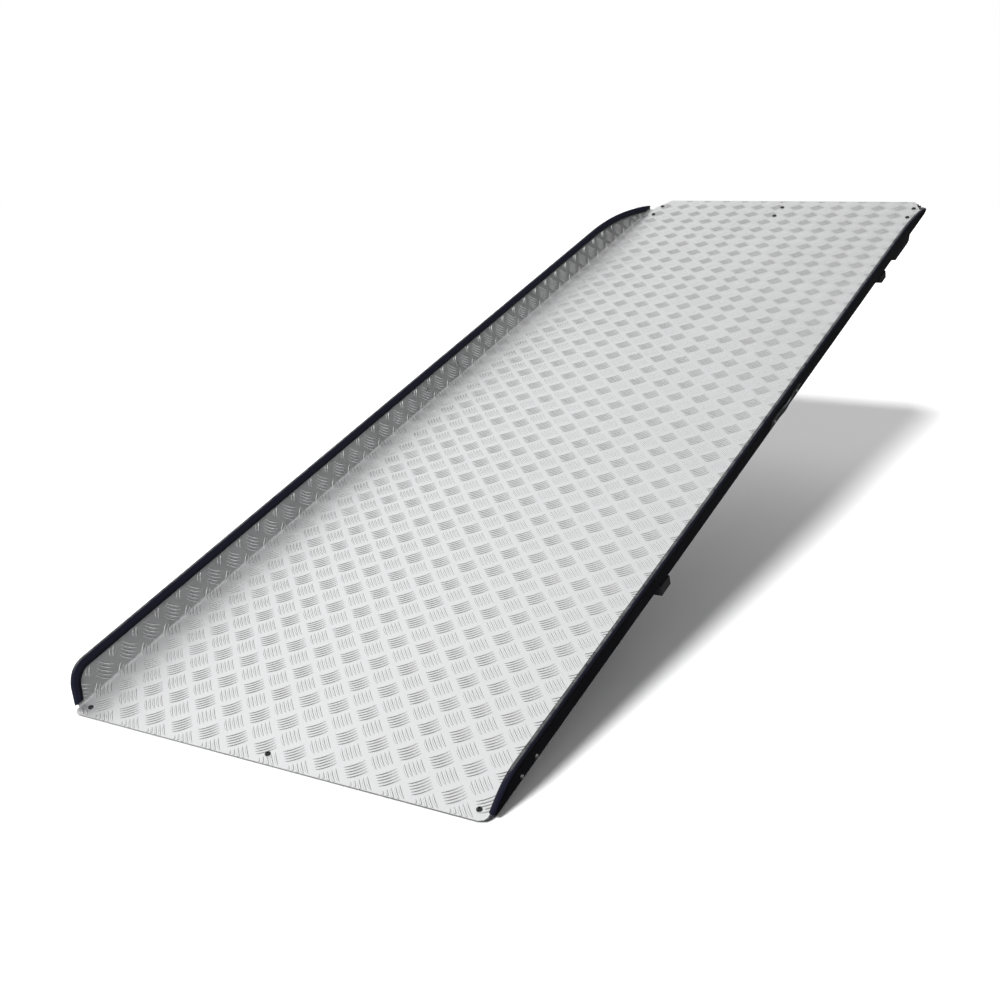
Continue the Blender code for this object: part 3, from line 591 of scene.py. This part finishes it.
# ---- rubber edge trims -----------------------------------------------------------------------------
def kerb_edge(steps):
    """The kerb's free edge as (y, height above the deck), from the toe end to the top end."""
    toe = arc(TOE_CENTRE, KERB_TOE_R, 180 - math.degrees(KERB_TOE_RAKE), 90, steps)
    foot = (TOE_Y + KERB_TOE_GAP + KERB_FOOT * math.tan(KERB_TOE_RAKE), KERB_FOOT)
    last = math.degrees(math.asin((KERB_FOOT - TAPER_CENTRE[1]) / KERB_TAPER_R))
    return [foot, *toe, *arc(TAPER_CENTRE, KERB_TAPER_R, 90, last, steps)]


def kerb_point(side, across, y, z):
    """Point at a height above the deck in a kerb, across its thickness from the inner face."""
    base = Vector((HALF_W, y, DECK_Z)) + LEAN_UP * (z / math.cos(KERB_LEAN)) + LEAN_OUT * across
    return Vector((side * base.x, base.y, base.z))


def trim_section():
    """Rounded U with two shallow ribs on each cheek: (across, depth) with depth out of the kerb."""
    half, top, slot = 0.0045, 0.0045, SHEET / 2 + TRIM_FIT
    floor, chamfer = 0.0015, 0.0008
    flatten = 0.9
    base = top - half * flatten
    half_round = arc((0, base), half, 0, 180, 12)
    crown = [(across, base + (depth - base) * flatten) for across, depth in half_round]
    ribs = ((-0.0030, 0.0), (-0.0036, 0.0003), (-0.0046, 0.0003), (-0.0052, 0.0))
    right = [(half + rise, depth) for depth, rise in ribs]
    right += [(half, -TRIM_LIP + chamfer), (half - chamfer, -TRIM_LIP)]
    right += [(slot, -TRIM_LIP), (slot, floor)]
    left = [(-across, depth) for across, depth in reversed(right)]
    return [*crown[:1], *right, *left, *crown[:0:-1]]


def edge_trims():
    """A rubber trim swept along each kerb's free edge, its lip cut back where the kerb is low."""
    fold_top = 0.0043         # height above the deck where the kerb's fold ends
    path = kerb_edge(40)
    section = trim_section()
    for label, side in SIDES:
        bm = bmesh.new()
        rings = []
        for i, (y, z) in enumerate(path):
            before, after = path[max(i - 1, 0)], path[min(i + 1, len(path) - 1)]
            tangent = Vector((after[0] - before[0], after[1] - before[1])).normalized()
            out_y, out_z = (-1.0, 0.0) if i == 0 else (-tangent.y, tangent.x)
            lip = min(TRIM_LIP, (z - fold_top) / max(out_z, 1e-6))
            share = lip / TRIM_LIP
            ring = []
            for across, depth in section:
                deep = depth * share if depth < 0 else depth
                ring.append(kerb_point(side, SHEET / 2 + across, y + out_y * deep, z + out_z * deep))
            rings.append(ring)
        loft(bm, rings)
        trim = finish_piece(f"rubber_trim_{label}", bm, RUBBER, "leaf", sharp=50.0)
        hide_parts(f"edge_trim_{label}")


# ---- fasteners -------------------------------------------------------------------------------------
HEAD_SIDES = 24               # round of every screw, washer and nut


def socket_screw(bm, radius, height, shank, grip, place, dark):
    """Button head on a chamfered shank; a dark core in its hexagon socket, painted shade in the recess,
    goes to the dark mesh.
    """
    hexagon = radius * 0.42
    tip = 0.0008              # length of the shank's chamfered end
    wall = height * 0.25      # height of the head's upright rim, and of the socket's floor
    outer = [(0, -grip), (shank * 0.8, -grip), (shank, -grip + tip)]
    outer += [(shank, 0), (radius, 0), (radius, wall)]
    outer += [(radius * math.cos(t), wall + (height - wall) * math.sin(t)) for t in (0.45, 0.8, 1.02)]
    crown = turned(bm, outer, HEAD_SIDES, place)[-1]
    per_side = HEAD_SIDES // 6
    rim, floor = [], []
    for i in range(HEAD_SIDES):
        corner, step = divmod(i, per_side)
        share = step / per_side
        near, far = math.pi / 3 * corner, math.pi / 3 * (corner + 1)
        x = hexagon * (math.cos(near) * (1 - share) + math.cos(far) * share)
        y = hexagon * (math.sin(near) * (1 - share) + math.sin(far) * share)
        rim.append(bm.verts.new(place @ Vector((x, y, height * 0.97))))
        floor.append(bm.verts.new(place @ Vector((x * 0.96, y * 0.96, wall))))
    for i in range(HEAD_SIDES):
        j = (i + 1) % HEAD_SIDES
        bm.faces.new((crown[i], crown[j], rim[j], rim[i]))
        bm.faces.new((rim[i], rim[j], floor[j], floor[i]))
    bm.faces.new(floor)
    # dark core in the socket: painted shade in the recess
    socket_shade_core = [(0, height * 0.26), (hexagon * 0.80, height * 0.26), (hexagon * 0.74, height * 0.36)]
    turned(dark, [*socket_shade_core, (0, height * 0.32)], 6, place)


def washer(bm, inner, outer, low, high, place):
    """Flat washer with softened outer edges."""
    soft = 0.0002
    section = [(inner, low), (outer - soft, low), (outer, low + soft)]
    section += [(outer, high - soft), (outer - soft, high), (inner, high)]
    made = []
    for i in range(HEAD_SIDES):
        t = 2 * math.pi * i / HEAD_SIDES
        made.append([bm.verts.new(place @ polar(r, t, z)) for r, z in section])
    close_round(bm, made)


def hex_nut(bm, across, inner, low, high, place):
    """Chamfered hexagon nut round a bore."""
    corner = across / 2 / math.cos(math.pi / 6)
    chamfer = (high - low) * 0.16
    made = []
    for i in range(HEAD_SIDES):
        t = 2 * math.pi * i / HEAD_SIDES
        wedge = (t + math.pi / 6) % (math.pi / 3) - math.pi / 6
        flat = min(across / 2 / math.cos(wedge), corner)
        section = [(inner, low), (across / 2, low), (flat, low + chamfer)]
        section += [(flat, high - chamfer), (across / 2, high), (inner, high)]
        made.append([bm.verts.new(place @ polar(r, t, z)) for r, z in section])
    close_round(bm, made)


def head_frame(name, outwards):
    """Frame of a fastener: its origin on top of the head, z along outwards, from its CAD node."""
    node = NODES[name]
    points = [v.co for v in node.data.vertices]
    axis = outwards.normalized()
    centre = sum(points, Vector()) / len(points)
    top = max(p.dot(axis) for p in points)
    origin = centre + axis * (top - centre.dot(axis))
    return Matrix.Translation(origin) @ axis.to_track_quat("Z", "Y").to_matrix().to_4x4()


STRAP_DEPTH = 0.0056          # from the deck's underside to the far face of a hinge strap
FIT = 0.0001                  # clearance of washers and nuts
WASHER_R, WASHER_H = 0.0062, 0.0011
NUT_ACROSS, NUT_H = 0.0090, 0.0029


def screws():
    """Detailed screws in place of the CAD ones, with washers and nuts where they clamp through."""
    deck_up = LEAF.to_3x3() @ Vector((0, 0, 1))
    # name, body, outwards, then the head's radius and height, the shank's radius and its length
    kinds = (
        ("toe_screw", "leaf", deck_up, 0.0042, 0.0023, 0.0022, 0.0080),
        ("strap_bolt", "leaf", deck_up, 0.0052, 0.0028, 0.0030, 0.0138),
        ("sill_bolt", "sill", Vector((0, 0, 1)), 0.0075, 0.0041, 0.0040, 0.0115),
    )
    for start, body, outwards, radius, height, shank, grip in kinds:
        for name in sorted(n for n in NODES if n.startswith(start)):
            place = head_frame(name, outwards) @ Matrix.Translation((0, 0, -height))
            bm, dark = bmesh.new(), bmesh.new()
            socket_screw(bm, radius, height, shank, grip, place, dark)
            if start == "strap_bolt":
                under_strap = -SHEET - STRAP_DEPTH - FIT
                under_washer = under_strap - WASHER_H
                washer(bm, shank + FIT, WASHER_R, under_washer, under_strap, place)
                nut_top = under_washer - FIT
                hex_nut(bm, NUT_ACROSS, shank + FIT, nut_top - NUT_H, nut_top, place)
            metal = ZINC if start == "sill_bolt" else DARK_STEEL
            screw = finish_piece(f"{name}_detail", bm, metal, body, Matrix.Identity(4), 35.0)
            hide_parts(name)
            # the socket's dark core is painted shade in the recess
            socket = finish_piece(f"{name}_socket", dark, DARK_STEEL, body, Matrix.Identity(4), 35.0)


def rivets():
    """Domed pop rivets with a sunk stem, on both ends of each pull strap and on the rail."""
    for name in sorted(n for n in NODES if n.startswith(("strap_rivet", "rail_bolt"))):
        side = -1 if "_left" in name else 1
        out = LEAF.to_3x3() @ Vector((side * LEAN_OUT.x, 0, LEAN_OUT.z))
        through = name.startswith("strap_rivet")
        radius, height = (0.0048, 0.0024) if through else (0.0042, 0.0023)
        dome = [(radius * math.cos(t), height * math.sin(t)) for t in (0.0, 0.25, 0.5, 0.8, 1.1)]
        stem = radius * 0.30
        sunk = [(stem * 1.15, height * 0.97), (stem, height * 0.72), (stem * 0.5, height * 0.80)]
        bm = bmesh.new()
        for direction in (out, -out) if through else (out,):
            place = head_frame(name, direction) @ Matrix.Translation((0, 0, -height))
            turned(bm, [(0, 0), *dome, *sunk, (0, height * 0.82)], 28, place)
        rivet = finish_piece(f"{name}_detail", bm, ZINC, "leaf", Matrix.Identity(4), 45.0)
        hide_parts(name)


# ---- stage, light and camera -----------------------------------------------------------------------
def pale_floor():
    """Plain white ground at the toe; it takes shadows but doesn't light the black parts from below."""
    half = 40.0
    below = 0.0005            # the floor stands this far under the ramp's lowest point
    bm = bmesh.new()
    corners = ((-half, -half), (half, -half), (half, half), (-half, half))
    bm.faces.new([bm.verts.new((x, y, 0)) for x, y in corners])
    mesh = bpy.data.meshes.new("floor")
    bm.to_mesh(mesh)
    bm.free()
    material = bpy.data.materials.new("pale_floor")
    material.use_nodes = True
    shader = material.node_tree.nodes["Principled BSDF"]
    shader.inputs["Base Color"].default_value = (0.93, 0.93, 0.93, 1.0)
    shader.inputs["Roughness"].default_value = 0.9
    shader.inputs["Specular IOR Level"].default_value = 0.0
    mesh.materials.append(material)
    floor = bpy.data.objects.new("floor", mesh)
    bpy.context.scene.collection.objects.link(floor)
    floor.location.z = CAD_BOX[0][2] - below
    floor.visible_diffuse = False
    floor.visible_glossy = False


# Soft lights at level 1 in the middle: direction from the ramp, then (degrees off it, light level)
# outwards.  A broad one on the left, smaller ones high on the right and in front, and two below the
# horizon for the folded leaf to mirror.
SOFT_LIGHTS = (
    ((-0.82, 0.16, 0.58), ((22, 1.12), (36, 0.86), (50, 0.59), (64, 0.21), (78, 0.02))),
    ((0.58, -0.22, 0.78), ((13, 1.5), (21, 0.4), (29, 0.0))),
    ((0.50, -0.85, 0.15), ((24, 0.12), (46, 0.0))),
    ((-0.64, -0.64, -0.42), ((20, 0.45), (36, 0.0))),
    ((0.72, 0.66, -0.20), ((12, 0.42), (23, 0.0))),
)


def soft_light(tree, direction, falloff):
    """Light level by angle from a direction: 1 in the middle, then falloff's (degrees, level)."""
    coordinates = tree.nodes.new("ShaderNodeTexCoord")
    towards = tree.nodes.new("ShaderNodeVectorMath")
    towards.operation = "DOT_PRODUCT"
    towards.inputs[1].default_value = Vector(direction).normalized()
    tree.links.new(coordinates.outputs["Generated"], towards.inputs[0])
    ramp = tree.nodes.new("ShaderNodeValToRGB")
    tree.links.new(towards.outputs["Value"], ramp.inputs["Fac"])
    stops = ramp.color_ramp.elements
    stops.remove(stops[0])    # the white stop that is left, at 1, is the middle
    for degrees, level in falloff:
        stop = stops.new(math.cos(math.radians(degrees)))
        stop.color = (level, level, level, 1.0)
    glow = tree.nodes.new("ShaderNodeBackground")
    tree.links.new(ramp.outputs["Color"], glow.inputs["Color"])
    return glow.outputs["Background"]


def studio_world():
    """Dim studio with soft lights round it; only the camera sees plain white past the floor."""
    world = bpy.data.worlds.new("studio")
    bpy.context.scene.world = world
    world.use_nodes = True
    tree = world.node_tree
    tree.nodes.clear()
    light, *others = [soft_light(tree, direction, falloff) for direction, falloff in SOFT_LIGHTS]
    for other in others:
        both = tree.nodes.new("ShaderNodeAddShader")
        tree.links.new(light, both.inputs[0])
        tree.links.new(other, both.inputs[1])
        light = both.outputs["Shader"]
    plain = tree.nodes.new("ShaderNodeBackground")
    plain.inputs["Color"].default_value = (1.0, 1.0, 1.0, 1.0)
    rays = tree.nodes.new("ShaderNodeLightPath")
    mix = tree.nodes.new("ShaderNodeMixShader")
    tree.links.new(rays.outputs["Is Camera Ray"], mix.inputs["Fac"])
    tree.links.new(light, mix.inputs[1])
    tree.links.new(plain.outputs["Background"], mix.inputs[2])
    output = tree.nodes.new("ShaderNodeOutputWorld")
    tree.links.new(mix.outputs["Shader"], output.inputs["Surface"])


KEY_FROM = Vector((0.20, -1.33, 0.67))
KEY_ENERGY = 7.8
KEY_SPREAD = math.radians(9.5)      # how wide the sun looks, which softens its shadow


def key_light():
    """A soft key from the front that throws the ground shadow back under the ramp."""
    light = bpy.data.lights.new("soft_key", "SUN")
    light.energy = KEY_ENERGY
    light.angle = KEY_SPREAD
    key = bpy.data.objects.new("soft_key", light)
    bpy.context.scene.collection.objects.link(key)
    key.rotation_euler = KEY_FROM.to_track_quat("Z", "Y").to_euler()
    key.visible_glossy = False


def camera():
    """The photograph's viewpoint, aimed at the leaf."""
    data = bpy.data.cameras.new("camera")
    data.lens = CAMERA_LENS
    data.shift_x = CAMERA_SHIFT
    seen = bpy.data.objects.new("camera", data)
    bpy.context.scene.collection.objects.link(seen)
    back = polar(math.cos(CAMERA_ELEVATION), CAMERA_AZIMUTH - math.pi / 2, math.sin(CAMERA_ELEVATION))
    seen.location = CAMERA_AIM + back * CAMERA_DISTANCE
    seen.rotation_euler = back.to_track_quat("Z", "Y").to_euler()
    bpy.context.scene.camera = seen
    bpy.context.scene.view_settings.view_transform = "Standard"


camera()
for node_name, cad_node in NODES.items():
    finish_node(node_name, cad_node)
tread_bars()
edge_trims()
screws()
rivets()
pale_floor()
studio_world()
key_light()
